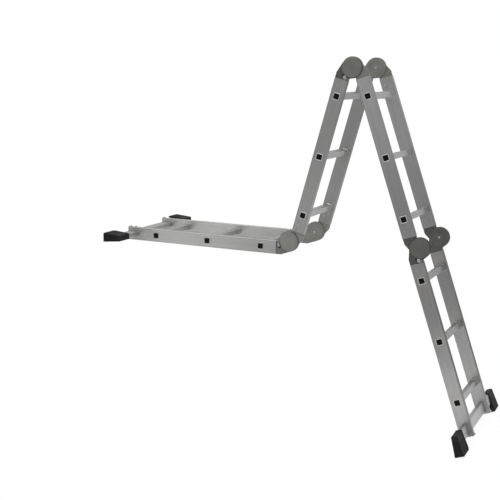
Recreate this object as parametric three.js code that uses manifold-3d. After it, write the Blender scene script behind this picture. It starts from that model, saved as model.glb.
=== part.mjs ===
// Four-section folding multi position ladder, set up for stairs:
// section A lies on an upper landing, section B is the short leg standing on its hinge,
// sections C and D are locked straight and form the long leg down to the lower floor.
// Millimetres, +Z up. Y is along the rungs and the hinge axes. The origin is the middle of the
// plane on which the two rails of section A rest.
import * as THREE from 'three';
import { mergeVertices } from 'three/addons/utils/BufferGeometryUtils.js';
import Module from 'manifold-3d';

const wasm = await Module();
wasm.setup();

// ---------------------------------------------------------------- driving dimensions
const WIDTH = 360;            // outside to outside of the two rails
const RAIL_D = 63;            // rail depth, in the plane of the ladder's side
const RAIL_T = 22;            // rail thickness, along Y
const RAIL_WALL = 2;
const PITCH = 280;            // rung pitch, also across a hinge
const SPAN = 3 * PITCH;       // hinge to hinge on sections B and C
const RUNG = 28;              // square rung tube
const RUNG_WALL = 1.6;
const RUNG_FIT = 0.4;         // gap around a rung in its rail
const END = 858;              // free rail end of sections A and D, from the hinge
const OFF = 32.5;             // hinge pin to rail centreline
const FORK_END = 62;          // rail end on the fork side of a hinge
const DISC_END = 57;          // rail end on the disc side of a hinge
const DISC_R = 42;            // inner hinge disc
const CHEEK_R = 47.5;         // fork cheeks
const COVER_R = 44.6;
const DISC_H = 4;             // half thickness of the inner disc
const CHEEK_0 = 4.4;          // fork cheeks, from and to, either side of the mid plane
const CHEEK_1 = 8.4;
const TONGUE_W = RAIL_D / 2 - 2.6; // half width of the tongue inside the rail
const TONGUE_END = 118;
const NECK_NEAR = 10;         // hinge plates run straight beside the rail's line for this long, on the pin's side
const NECK_FAR = 24;          // and on the other side
const PIN_R = 7;
const LOCK_DIR = 21.5;        // direction of the lock bolt from the rail direction, degrees
const LOCK_TRAVEL = 7;
const NOTCH_AT = [0, 34.2, 104.8, 180]; // hinge angles with a lock notch
const BAR_H = 48, BAR_T = 22; // stabiliser bar, along and across the rail depth
const BAR_S = 822;            // its middle, from the hinge
const BAR_N = 3;              // its offset towards the hinge pin's side
const BAR_HALF = 360;
const FOOT = { s0: 793.5, s1: 887, n0: -11.5, heel: -20, n1: 18, toe: 25, y0: 279, y1: 362 };
const LEAN_B = 14.8;          // section B from the vertical
const LEAN_C = 19.44;         // sections C and D from the vertical
const A_MID = 457.5;          // origin, from hinge A-B along section A

const rad = THREE.MathUtils.degToRad;
const YC = WIDTH / 2 - RAIL_T / 2;

// ---------------------------------------------------------------- materials
const mat = (name, color, roughness, metalness) => {
  const m = new THREE.MeshStandardMaterial({ color, roughness, metalness });
  m.name = name;
  return m;
};
const ALU_RAIL = () => mat('aluminium_rail', 0xa4a4a2, 0.42, 0.9);
const ALU_RUNG = () => mat('aluminium_rung', 0xacacaa, 0.4, 0.9);
const ALU_BAR = () => mat('aluminium_bar', 0xa0a09e, 0.45, 0.9);
const STEEL = () => mat('hinge_steel', 0x6e706a, 0.5, 0.6);
const ZINC = () => mat('zinc_pin', 0xb9bab6, 0.35, 1.0);
const COVER = () => mat('hinge_cover', 0x686a63, 0.55, 0.1);
const LOCK = () => mat('lock_trigger', 0x8f8f8d, 0.45, 0.7);
const RUBBER = () => mat('foot_rubber', 0x1f1f1e, 0.8, 0.0);

// ---------------------------------------------------------------- helpers
function solid(geo) {
  const g = geo.index ? geo.toNonIndexed() : geo.clone();
  g.deleteAttribute('normal');
  g.deleteAttribute('uv');
  const w = mergeVertices(g, 1e-4);
  return new wasm.Manifold(new wasm.Mesh({
    numProp: 3,
    vertProperties: new Float32Array(w.attributes.position.array),
    triVerts: new Uint32Array(w.index.array),
  }));
}

function geometry(man) {
  const m = man.getMesh();
  const g = new THREE.BufferGeometry();
  g.setAttribute('position', new THREE.BufferAttribute(new Float32Array(m.vertProperties), 3));
  g.setIndex(new THREE.BufferAttribute(new Uint32Array(m.triVerts), 1));
  g.computeVertexNormals();
  return g;
}

const box = (x0, x1, y0, y1, z0, z1) =>
  new THREE.BoxGeometry(x1 - x0, y1 - y0, z1 - z0).translate((x0 + x1) / 2, (y0 + y1) / 2, (z0 + z1) / 2);

function roundRect(w, h, r, cls = THREE.Shape) {
  const s = new cls();
  const a = w / 2, b = h / 2;
  s.moveTo(-a + r, -b);
  s.lineTo(a - r, -b);
  s.absarc(a - r, -b + r, r, -Math.PI / 2, 0, false);
  s.lineTo(a, b - r);
  s.absarc(a - r, b - r, r, 0, Math.PI / 2, false);
  s.lineTo(-a + r, b);
  s.absarc(-a + r, b - r, r, Math.PI / 2, Math.PI, false);
  s.lineTo(-a, -b + r);
  s.absarc(-a + r, -b + r, r, Math.PI, 1.5 * Math.PI, false);
  return s;
}

// a shape in (x, z) made a slab between two heights along Y
function slab(shape, y0, y1, curve = 12) {
  const g = new THREE.ExtrudeGeometry(shape, { depth: y1 - y0, bevelEnabled: false, curveSegments: curve });
  return g.rotateX(Math.PI / 2).translate(0, y1, 0);
}

// a square or rectangular tube along Y
function tubeY(w, h, r, wall, half) {
  const outer = solid(slab(roundRect(w, h, r), -half, half, 1));
  return geometry(outer.subtract(solid(box(-w / 2 + wall, w / 2 - wall, -half - 5, half + 5, -h / 2 + wall, h / 2 - wall))));
}

// outline of a hinge plate: the disc around the pin, joined by its tangents to a neck as wide as the
// rail, which starts at height s on the side k
function plateOutline(R, k, s, n = 30) {
  const near = OFF - RAIL_D / 2 + 0.3, far = OFF + RAIL_D / 2 - 0.3;
  const sn = s - NECK_NEAR, sf = s - NECK_FAR;
  const c1 = Math.atan2(near, sn), c2 = Math.atan2(far, sf);
  const t1 = c1 - Math.acos(R / Math.hypot(near, sn));
  const t2 = c2 + Math.acos(R / Math.hypot(far, sf));
  const pts = [];
  // from the far tangent round the far side of the disc to the near tangent
  const a0 = t2, a1 = t1 + 2 * Math.PI;
  for (let i = 0; i <= n; i++) {
    const a = a0 + ((a1 - a0) * i) / n;
    pts.push([R * Math.sin(a), R * Math.cos(a)]);
  }
  pts.push([near, sn], [near, s], [far, s], [far, sf]);
  return new THREE.Shape(pts.map(([x, z]) => new THREE.Vector2(k * x, z)));
}

function cyl(r, y0, y1, n = 20) {
  return new THREE.CylinderGeometry(r, r, y1 - y0, n).translate(0, (y0 + y1) / 2, 0);
}

// a box in the lock bolt's own direction: from r0 to r1 along it, half width w, between two heights on Y
function lockBox(k, r0, r1, w, y0, y1) {
  return box(-w, w, y0, y1, r0, r1).rotateY(rad(k * LOCK_DIR));
}

// ---------------------------------------------------------------- pieces
// barSide is the hinge pin's side on X where a stabiliser bar passes through, or 0
function rail(s0, s1, barSide = 0) {
  const sh = roundRect(RAIL_D, RAIL_T, 3);
  let m = solid(new THREE.ExtrudeGeometry(sh, { depth: s1 - s0, bevelEnabled: false, curveSegments: 2 }).translate(0, 0, s0));
  m = m.subtract(solid(box(-RAIL_D / 2 + RAIL_WALL, RAIL_D / 2 - RAIL_WALL, -RAIL_T / 2 + RAIL_WALL, RAIL_T / 2 - RAIL_WALL, s0 - 5, s1 + 5)));
  for (let i = 0; i < 3; i++) {
    const h = RUNG + 2 * RUNG_FIT;
    m = m.subtract(solid(slab(roundRect(h, h, 3.2), -RAIL_T, RAIL_T, 1).translate(0, 0, PITCH * (i + 0.5))));
  }
  if (barSide) {
    const n = barSide * BAR_N;
    m = m.subtract(solid(box(n - BAR_T / 2 - 0.4, n + BAR_T / 2 + 0.4, -RAIL_T, RAIL_T, BAR_S - BAR_H / 2 - 0.4, BAR_S + BAR_H / 2 + 0.4)));
  }
  return geometry(m);
}

function rung() {
  return tubeY(RUNG, RUNG, 3, RUNG_WALL, WIDTH / 2 - 0.6);
}

function fork(k, o) {
  // two cheeks, a web between them behind the disc, and a tongue of two plates inside the rail
  const cheek = (a, b) => solid(slab(plateOutline(CHEEK_R, k, FORK_END), a, b));
  const xs = (a, b) => [Math.min(k * a, k * b), Math.max(k * a, k * b)];
  const band = xs(OFF - RAIL_D / 2 + 0.3, OFF + RAIL_D / 2 - 0.3), tng = xs(OFF - TONGUE_W, OFF + TONGUE_W);
  let m = cheek(CHEEK_0, CHEEK_1).add(cheek(-CHEEK_1, -CHEEK_0));
  m = m.add(solid(box(band[0], band[1], -CHEEK_1 + 0.5, CHEEK_1 - 0.5, 50.6, FORK_END - 0.3)));
  m = m.add(solid(box(tng[0], tng[1], CHEEK_0, CHEEK_1, 60, TONGUE_END)));
  m = m.add(solid(box(tng[0], tng[1], -CHEEK_1, -CHEEK_0, 60, TONGUE_END)));
  m = m.add(solid(box(tng[0], tng[1], -CHEEK_1 + 0.5, CHEEK_1 - 0.5, 100, TONGUE_END)));
  // channel of the lock bolt, window of its trigger, bore of the pin
  m = m.subtract(solid(lockBox(k, 40, 86, 8.8, -CHEEK_0, CHEEK_0)));
  const w = o > 0 ? [0, CHEEK_1 + 2] : [-CHEEK_1 - 2, 0];
  m = m.subtract(solid(lockBox(k, 45.4, 65, 8.8, w[0], w[1])));
  m = m.subtract(solid(lockBox(k, 45.4, 57.5, 15, w[0], w[1])));
  m = m.subtract(solid(cyl(PIN_R + 0.4, -20, 20)));
  return geometry(m);
}

function disc(k) {
  // the inner half: one plate from the notched disc to the tongue, thickened inside the rail
  const xs = (a, b) => [Math.min(k * a, k * b), Math.max(k * a, k * b)];
  const tng = xs(OFF - TONGUE_W, OFF + TONGUE_W);
  let m = solid(slab(plateOutline(DISC_R, k, DISC_END), -DISC_H, DISC_H));
  m = m.add(solid(box(tng[0], tng[1], -DISC_H, DISC_H, 55, TONGUE_END)));
  m = m.add(solid(box(tng[0], tng[1], -CHEEK_1, CHEEK_1, DISC_END + 2, DISC_END + 12)));
  m = m.add(solid(box(tng[0], tng[1], -CHEEK_1, CHEEK_1, 106, TONGUE_END)));
  for (const a of NOTCH_AT) {
    const far = a < 20 ? 62 : 47;
    m = m.subtract(solid(box(-5.4, 5.4, -10, 10, 37, far).rotateY(rad(-k * (a + LOCK_DIR)))));
  }
  m = m.subtract(solid(cyl(PIN_R + 0.4, -20, 20)));
  return geometry(m);
}

function pin(o) {
  // rivet: flush on the outer side under the cover, a domed head on the inner side
  const p = [[0, -CHEEK_1 + 0.1], [PIN_R, -CHEEK_1 + 0.1], [PIN_R, CHEEK_1 + 0.3], [12, CHEEK_1 + 0.3], [12, CHEEK_1 + 1.4],
    [9.5, CHEEK_1 + 2.8], [0, CHEEK_1 + 3.2]].map(([r, y]) => new THREE.Vector2(r, y));
  const g = new THREE.LatheGeometry(p, 16);
  return o > 0 ? g.rotateX(Math.PI) : g;
}

function cover(o) {
  const y = CHEEK_1 + 0.3;
  const p = [[0, y], [COVER_R, y], [COVER_R, y + 1.8], [42.6, y + 3.7], [38, y + 4.3], [0, y + 4.6]].map(([r, h]) => new THREE.Vector2(r, h));
  const g = new THREE.LatheGeometry(p, 32);
  return o > 0 ? g : g.rotateX(Math.PI);
}

function lock(k, o) {
  const t = o > 0 ? [0, 13.4] : [-13.4, 0];
  let m = solid(lockBox(k, DISC_R + 0.7, 56, 4.6, -3.8, 3.8));
  m = m.add(solid(lockBox(k, 52, 72, 8.3, -3.8, 3.8)));
  m = m.add(solid(lockBox(k, 46, 56.2, 7, t[0], t[1])));
  return geometry(m);
}

function foot(n, o) {
  // rubber boot: an outline in the side plane, wider at the sole, with a pocket for the end of the bar
  const { s0, s1, n0, heel, n1, toe, y0, y1 } = FOOT;
  const pts = [[n0 + 3, s0], [n1 - 4, s0], [n1 - 0.5, s0 + 4], [n1, s0 + 20], [toe, s1 - 6], [toe - 4, s1], [heel + 4, s1], [heel, s1 - 5], [n0, s0 + 8]];
  const sh = new THREE.Shape(pts.map(([x, z]) => new THREE.Vector2(n * x, z)));
  let m = solid(slab(sh, y0, y1));
  m = m.subtract(solid(box(n * BAR_N - BAR_T / 2 - 0.4, n * BAR_N + BAR_T / 2 + 0.4, y0 - 5, BAR_HALF + 0.6, BAR_S - BAR_H / 2 - 0.4, BAR_S + BAR_H / 2 + 0.4)));
  const g = geometry(m);
  return o > 0 ? g : flipY(g);
}

function flipY(g) {
  const p = g.attributes.position, idx = g.index.array;
  for (let i = 0; i < p.count; i++) p.setY(i, -p.getY(i));
  for (let i = 0; i < idx.length; i += 3) [idx[i], idx[i + 1]] = [idx[i + 1], idx[i]];
  g.computeVertexNormals();
  return g;
}

// ---------------------------------------------------------------- layout in the side plane
// B hangs from hinge B-C, A from B, D from C. In each section's own group +Z runs along its rails away
// from its first hinge and X is across the rail depth; n is the side of its outward face on X.
const hBC = new THREE.Vector2(0, 0);
const bDir = new THREE.Vector2(-Math.sin(rad(LEAN_B)), -Math.cos(rad(LEAN_B)));
const bOut = new THREE.Vector2(-Math.cos(rad(LEAN_B)), Math.sin(rad(LEAN_B)));
const cDir = new THREE.Vector2(Math.sin(rad(LEAN_C)), -Math.cos(rad(LEAN_C)));
const cOut = new THREE.Vector2(Math.cos(rad(LEAN_C)), Math.sin(rad(LEAN_C)));
const along = (p, d, t) => p.clone().addScaledVector(d, t);
const b0 = along(hBC, bOut, OFF);
const hAB = along(along(b0, bDir, SPAN), bOut, OFF);
const a0 = new THREE.Vector2(hAB.x, hAB.y - OFF);
const c0 = along(hBC, cOut, OFF);
const hCD = along(along(c0, cDir, SPAN), cOut, OFF);
const d0 = along(hCD, cOut, -OFF);
// move the whole so that section A rests on z = 0 about x = 0
const shift = new THREE.Vector2(A_MID - a0.x, RAIL_D / 2 - a0.y);

const root = new THREE.Group();
function section(origin, angle) {
  const g = new THREE.Group();
  g.position.set(origin.x + shift.x, 0, origin.y + shift.y);
  g.rotation.y = rad(angle);
  root.add(g);
  return g;
}
const secA = section(a0, -90);
const secB = section(b0, 180 + LEAN_B);
const secC = section(c0, 180 - LEAN_C);
const secD = section(d0, 180 - LEAN_C);

function put(group, name, geo, material, x = 0, y = 0, z = 0, turn = 0) {
  const m = new THREE.Mesh(geo, material);
  m.name = name;
  m.position.set(x, y, z);
  m.rotation.y = turn;
  group.add(m);
}

const SIDES = [['front', -1], ['rear', 1]];
for (const [side, o] of SIDES) {
  put(secA, `rail_a_${side}`, rail(FORK_END, END, 1), ALU_RAIL(), 0, o * YC, 0);
  put(secB, `rail_b_${side}`, rail(FORK_END, SPAN - DISC_END), ALU_RAIL(), 0, o * YC, 0);
  put(secC, `rail_c_${side}`, rail(DISC_END, SPAN - DISC_END), ALU_RAIL(), 0, o * YC, 0);
  put(secD, `rail_d_${side}`, rail(FORK_END, END, -1), ALU_RAIL(), 0, o * YC, 0);
}
for (const [group, s] of [[secA, 'a'], [secB, 'b'], [secC, 'c'], [secD, 'd']])
  for (let i = 0; i < 3; i++) put(group, `rung_${s}${i + 1}`, rung(), ALU_RUNG(), 0, 0, PITCH * (i + 0.5));

// forks with their pins, covers and locks
for (const [group, name, k] of [[secA, 'ab', -1], [secB, 'bc', 1], [secD, 'cd', 1]]) {
  for (const [side, o] of SIDES) {
    const at = [-k * OFF, o * YC, 0];
    put(group, `fork_${name}_${side}`, fork(k, o), STEEL(), ...at);
    put(group, `pin_${name}_${side}`, pin(o), ZINC(), ...at);
    put(group, `cover_${name}_${side}`, cover(o), COVER(), ...at);
    put(group, `lock_${name}_${side}`, lock(k, o), LOCK(), ...at);
  }
}
// inner discs
for (const [side, o] of SIDES) {
  put(secB, `disc_ab_${side}`, disc(1), STEEL(), OFF, o * YC, SPAN, Math.PI);
  put(secC, `disc_bc_${side}`, disc(-1), STEEL(), OFF, o * YC, 0);
  put(secC, `disc_cd_${side}`, disc(-1), STEEL(), -OFF, o * YC, SPAN, Math.PI);
}
// stabiliser bars and feet
for (const [group, s, n] of [[secA, 'a', 1], [secD, 'd', -1]]) {
  put(group, `bar_${s}`, tubeY(BAR_T, BAR_H, 2, 2, BAR_HALF), ALU_BAR(), n * BAR_N, 0, BAR_S);
  for (const [side, o] of SIDES) put(group, `foot_${s}_${side}`, foot(n, o), RUBBER(), 0, 0, 0);
}

export default root;
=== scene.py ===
"""Multi position ladder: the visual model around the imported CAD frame.

Four rail-and-rung sections joined by three pairs of locking hinges. Every piece is meshed here in
its own section's frame, in millimetres, turned to metres, and rides on that section's CAD body.
In a section's frame +Z runs along the rails away from the section's first hinge, Y is along the
rungs, and X is across the depth of the rails.
"""

import math

import bmesh
import bpy
from mathutils import Matrix, Vector


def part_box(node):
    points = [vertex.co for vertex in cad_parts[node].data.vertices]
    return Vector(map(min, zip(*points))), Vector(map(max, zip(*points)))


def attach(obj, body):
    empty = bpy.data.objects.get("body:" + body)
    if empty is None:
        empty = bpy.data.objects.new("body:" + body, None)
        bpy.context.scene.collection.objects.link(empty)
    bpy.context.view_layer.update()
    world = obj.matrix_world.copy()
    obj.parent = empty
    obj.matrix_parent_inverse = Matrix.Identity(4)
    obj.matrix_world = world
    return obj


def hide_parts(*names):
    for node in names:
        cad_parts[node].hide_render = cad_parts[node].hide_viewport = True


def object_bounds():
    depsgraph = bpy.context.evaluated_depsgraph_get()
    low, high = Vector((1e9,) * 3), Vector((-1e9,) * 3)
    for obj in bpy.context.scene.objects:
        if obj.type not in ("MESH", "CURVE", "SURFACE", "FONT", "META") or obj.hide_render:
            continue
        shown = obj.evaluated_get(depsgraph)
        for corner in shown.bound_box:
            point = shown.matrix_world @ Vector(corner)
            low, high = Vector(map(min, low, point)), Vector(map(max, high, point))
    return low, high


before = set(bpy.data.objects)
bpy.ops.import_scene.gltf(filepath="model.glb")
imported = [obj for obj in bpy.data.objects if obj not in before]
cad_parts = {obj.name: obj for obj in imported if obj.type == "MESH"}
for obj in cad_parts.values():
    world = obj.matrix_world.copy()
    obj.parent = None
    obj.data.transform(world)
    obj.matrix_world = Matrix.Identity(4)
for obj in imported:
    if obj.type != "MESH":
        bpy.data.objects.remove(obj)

cad_box = [list(v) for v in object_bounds()]
scene = bpy.context.scene
MM = 0.001

# ------------------------------------------------------------------ camera
YAW, PITCH_DOWN, ROLL = 24.47768, 10.35872, 1.08994
CAM_FROM_TOP_HINGE = (1.46981, -4.44211, 0.00355)


def make_camera():
    yaw, pit, rol = (math.radians(a) for a in (YAW, PITCH_DOWN, ROLL))
    fw = Vector((-math.sin(yaw) * math.cos(pit), math.cos(yaw) * math.cos(pit), -math.sin(pit)))
    rt = Vector((math.cos(yaw), math.sin(yaw), 0))
    up = rt.cross(fw)
    right = rt * math.cos(rol) + up * math.sin(rol)
    top = -rt * math.sin(rol) + up * math.cos(rol)
    data = bpy.data.cameras.new("camera")
    data.sensor_width = 36
    data.lens = 36 * 1013.84 / 500
    data.clip_start, data.clip_end = 0.05, 200
    cam = bpy.data.objects.new("camera", data)
    scene.collection.objects.link(cam)
    m = Matrix((right, top, -fw)).transposed().to_4x4()
    lo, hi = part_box("pin_bc_front")
    m.translation = Vector(((lo.x + hi.x) / 2, 0, (lo.z + hi.z) / 2)) + Vector(CAM_FROM_TOP_HINGE)
    cam.matrix_world = m
    scene.camera = cam


make_camera()

# ------------------------------------------------------------------ dimensions, as in the CAD
WIDTH, RAIL_D, RAIL_T, WALL = 360, 63, 22, 2
PITCH, SPAN, END = 280, 840, 858
RUNG = 28
OFF, FORK_END, DISC_END = 32.5, 62, 57
DISC_R, CHEEK_R, COVER_R = 42, 47.5, 44.6
DISC_H, CHEEK_0, CHEEK_1 = 4, 4.4, 8.4
TONGUE_W, TONGUE_END, PIN_R = RAIL_D / 2 - 2.6, 118, 7
NECK_NEAR, NECK_FAR = 10, 24
LOCK_DIR = 21.5
NOTCH_AT = (0, 34.2, 104.8, 180)
BAR_H, BAR_T, BAR_S, BAR_N, BAR_HALF = 48, 22, 822, 3, 360
FOOT = dict(s0=793.5, s1=887, n0=-11.5, heel=-20, n1=18, toe=25, y0=279, y1=362)
YC = WIDTH / 2 - RAIL_T / 2
IN_Y, OUT_Y = YC - RAIL_T / 2, YC + RAIL_T / 2


# ------------------------------------------------------------------ section frames, from the CAD pins
def middle(node):
    lo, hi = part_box(node)
    return (lo + hi) / 2


def flat(v):
    return Vector((v.x, 0, v.z))


H_AB, H_BC, H_CD = (flat(middle(f"pin_{h}_front")) for h in ("ab", "bc", "cd"))
OFFM, SPANM = OFF * MM, SPAN * MM


def lean(a, b):
    """(direction along the rails, angle from straight down) from hinge a to hinge b: the pins stand OFF off the rails' centrelines."""
    v = b - a
    return v, math.atan2(v.x, -v.z)


_, angB = lean(H_BC, H_AB)
_, angC = lean(H_BC, H_CD)
skew = math.atan2(2 * OFF, SPAN)
angB += skew  # section B hangs towards -X
angC -= skew


def direction(angle):
    return Vector((math.sin(angle), 0, -math.cos(angle)))


dirB, dirC = direction(angB), direction(angC)
outB = Vector((-math.cos(angB), 0, -math.sin(angB)))
outC = Vector((math.cos(angC), 0, math.sin(angC)))


def section_frame(origin, along):
    """+Z along the rails, +Y kept, X to match."""
    y = Vector((0, 1, 0))
    x = y.cross(along)
    m = Matrix((x, y, along)).transposed().to_4x4()
    m.translation = origin
    return m


SEC = {
    "a": section_frame(H_AB - Vector((0, 0, OFFM)), Vector((-1, 0, 0))),
    "b": section_frame(H_BC + outB * OFFM, dirB),
    "c": section_frame(H_BC + outC * OFFM, dirC),
    "d": section_frame(H_CD - outC * OFFM, dirC),
}
BODY = {s: "section_" + s for s in "abcd"}
SIDES = (("front", -1), ("rear", 1))
HALF_TURN = Matrix.Rotation(math.pi, 4, "Y")


def shift(x, y, z):
    return Matrix.Translation(Vector((x, y, z)) * MM)


# ------------------------------------------------------------------ materials
def link(nt, a, b):
    nt.links.new(a, b)


class Mat:
    """A small helper round one node tree."""

    def __init__(self, name):
        self.m = bpy.data.materials.new(name)
        self.m.use_nodes = True
        self.nt = self.m.node_tree
        self.nt.nodes.clear()
        self.out = self.node("ShaderNodeOutputMaterial")
        self.p = self.node("ShaderNodeBsdfPrincipled")
        link(self.nt, self.p.outputs["BSDF"], self.out.inputs["Surface"])
        self.coord = self.node("ShaderNodeAttribute")
        self.coord.attribute_type = "GEOMETRY"
        self.coord.attribute_name = "grain"

    def node(self, kind, **props):
        n = self.nt.nodes.new(kind)
        for k, v in props.items():
            setattr(n, k, v)
        return n

    def put(self, node, socket, value):
        if isinstance(value, bpy.types.NodeSocket):
            link(self.nt, value, node.inputs[socket])
        else:
            node.inputs[socket].default_value = value

    def scaled(self, scale, offset=(0, 0, 0)):
        n = self.node("ShaderNodeMapping")
        link(self.nt, self.coord.outputs["Vector"], n.inputs["Vector"])
        n.inputs["Scale"].default_value = scale
        n.inputs["Location"].default_value = offset
        return n.outputs["Vector"]

    def noise(self, scale, detail=3, rough=0.55, offset=(0, 0, 0), distortion=0):
        n = self.node("ShaderNodeTexNoise")
        link(self.nt, self.scaled(scale, offset), n.inputs["Vector"])
        n.inputs["Scale"].default_value = 1
        n.inputs["Detail"].default_value = detail
        n.inputs["Roughness"].default_value = rough
        n.inputs["Distortion"].default_value = distortion
        return n.outputs["Fac"]

    def voronoi(self, scale, feature="F1", offset=(0, 0, 0)):
        n = self.node("ShaderNodeTexVoronoi", feature=feature)
        link(self.nt, self.scaled(scale, offset), n.inputs["Vector"])
        n.inputs["Scale"].default_value = 1
        return n.outputs["Distance"]

    def ramp(self, value, stops, interpolation="LINEAR"):
        n = self.node("ShaderNodeValToRGB")
        n.color_ramp.interpolation = interpolation
        e = n.color_ramp.elements
        while len(e) > 1:
            e.remove(e[-1])
        e[0].position, e[0].color = stops[0][0], self.rgba(stops[0][1])
        for pos, col in stops[1:]:
            x = e.new(pos)
            x.color = self.rgba(col)
        link(self.nt, value, n.inputs["Fac"])
        return n.outputs["Color"]

    def rgba(self, c):
        if isinstance(c, (int, float)):
            return (c, c, c, 1)
        return (*c, 1) if len(c) == 3 else c

    def span(self, value, a, b, c, d):
        """value from a..b to c..d, clamped."""
        n = self.node("ShaderNodeMapRange")
        n.clamp = True
        link(self.nt, value, n.inputs["Value"])
        for k, v in (("From Min", a), ("From Max", b), ("To Min", c), ("To Max", d)):
            n.inputs[k].default_value = v
        return n.outputs["Result"]

    def math(self, op, a, b=None):
        n = self.node("ShaderNodeMath", operation=op)
        self.put(n, 0, a)
        if b is not None:
            self.put(n, 1, b)
        return n.outputs["Value"]

    def mix(self, fac, a, b, blend="MIX"):
        n = self.node("ShaderNodeMix", data_type="RGBA", blend_type=blend)
        self.put(n, 0, fac)
        for i, v in ((6, a), (7, b)):
            if isinstance(v, bpy.types.NodeSocket):
                link(self.nt, v, n.inputs[i])
            else:
                n.inputs[i].default_value = self.rgba(v)
        return n.outputs[2]

    def pointy(self, lo, hi, to=(0, 1)):
        g = self.node("ShaderNodeNewGeometry")
        return self.span(g.outputs["Pointiness"], lo, hi, to[0], to[1])

    def bump(self, height, strength, distance, normal=None):
        n = self.node("ShaderNodeBump")
        n.inputs["Strength"].default_value = strength
        n.inputs["Distance"].default_value = distance
        link(self.nt, height, n.inputs["Height"])
        if normal is not None:
            link(self.nt, normal, n.inputs["Normal"])
        return n.outputs["Normal"]

    def done(self, color, rough, normal=None, metallic=0.0, spec=0.5, aniso=0.0, turn=0.0, tangent=None):
        self.put(self.p, "Base Color", color)
        self.put(self.p, "Roughness", rough)
        self.p.inputs["Metallic"].default_value = metallic
        self.p.inputs["Specular IOR Level"].default_value = spec
        if normal is not None:
            link(self.nt, normal, self.p.inputs["Normal"])
        if aniso:
            self.p.inputs["Anisotropic"].default_value = aniso
            self.p.inputs["Anisotropic Rotation"].default_value = turn
            t = self.node("ShaderNodeVectorTransform", vector_type="VECTOR", convert_from="OBJECT", convert_to="WORLD")
            t.inputs["Vector"].default_value = tangent
            link(self.nt, t.outputs["Vector"], self.p.inputs["Tangent"])
        return self.m


def metal(name, light, dark, rough, grain, aniso=0.0, tangent=(0, 0, 1), blotch=0.5, scratch=0.5, tint=(1, 1, 1), edge_wear_and_shade=1.18, profile=None):
    """Extruded or drawn aluminium: die lines along the grain (the third coordinate), cloudy oxide, edges rubbed lighter
    (painted shade when the edge factor is below one), painted shade in the corners, fine scratches, and with a profile
    a painted light and shade along the length.
    """
    k = Mat(name)
    fine = k.noise((grain, grain, 5), detail=5, rough=0.62)
    bands = k.noise((grain * 0.16, grain * 0.16, 1.2), detail=3, rough=0.5, offset=(3.1, 7.7, 0.4))
    cloud = k.noise((11, 11, 6), detail=4, rough=0.6, offset=(1.3, 4.2, 9.1), distortion=0.6)
    col = k.ramp(fine, [(0.30, tuple(dark * t for t in tint)), (0.70, tuple(light * t for t in tint))])
    col = k.mix(0.45, col, k.ramp(bands, [(0.3, tuple(dark * 0.97 * t for t in tint)), (0.7, tuple(light * t for t in tint))]))
    col = k.mix(blotch, col, k.ramp(cloud, [(0.32, 0.80), (0.5, 0.96), (0.7, 1.0)]), "MULTIPLY")
    # long handling scratches, a few crossing the grain
    s1 = k.noise((260, 260, 9), detail=2, rough=0.4, offset=(9, 2, 5), distortion=1.2)
    mark = k.span(s1, 0.655, 0.70, 0, scratch)
    s2 = k.noise((34, 34, 420), detail=2, rough=0.5, offset=(2, 8, 1), distortion=2.0)
    cross = k.span(s2, 0.69, 0.74, 0, scratch * 0.8)
    marks = k.math("MAXIMUM", mark, cross)
    col = k.mix(marks, col, tuple(min(1, light * 1.22) * t for t in tint))
    if profile:
        # painted light and shade: a slow change of tone along the length, standing for the light and reflections
        # falling on the rail
        sep = k.node("ShaderNodeSeparateXYZ")
        link(k.nt, k.coord.outputs["Vector"], sep.inputs["Vector"])
        k_at = k.span(sep.outputs["Z"], 0, 0.9, 0, 1)
        col = k.mix(1.0, col, k.ramp(k_at, [(s / 900, v) for s, v in profile]), "MULTIPLY")
        # painted shade: darker along both edges of the rail and on its narrow faces
        painted_rim_shade = k.span(k.math("ABSOLUTE", sep.outputs["X"]), 0.0265, 0.0312, 0, 1)
        col = k.mix(painted_rim_shade, col, k.mix(1.0, col, 0.62, "MULTIPLY"))
    # edges rubbed lighter when the edge factor is above one; below one, as on the rails and rungs, the edges get a
    # painted shade; corners and hollows darkened: painted shade
    col = k.mix(k.pointy(0.515, 0.60, (0, 0.55)), col, tuple(min(1, light * edge_wear_and_shade) * t for t in tint))
    col = k.mix(k.pointy(0.485, 0.42, (0, 0.6)), col, dark * 0.55)
    r = k.span(fine, 0.25, 0.75, rough - 0.05, rough + 0.07)
    r = k.math("ADD", r, k.span(cloud, 0.3, 0.7, 0.05, -0.03))
    r = k.math("SUBTRACT", r, k.math("MULTIPLY", marks, 0.08))
    n = k.bump(fine, 0.22, 0.00018)
    n = k.bump(marks, 0.25, 0.0001, n)
    return k.done(col, r, n, metallic=1.0, aniso=aniso, turn=0.25, tangent=tangent)


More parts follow.
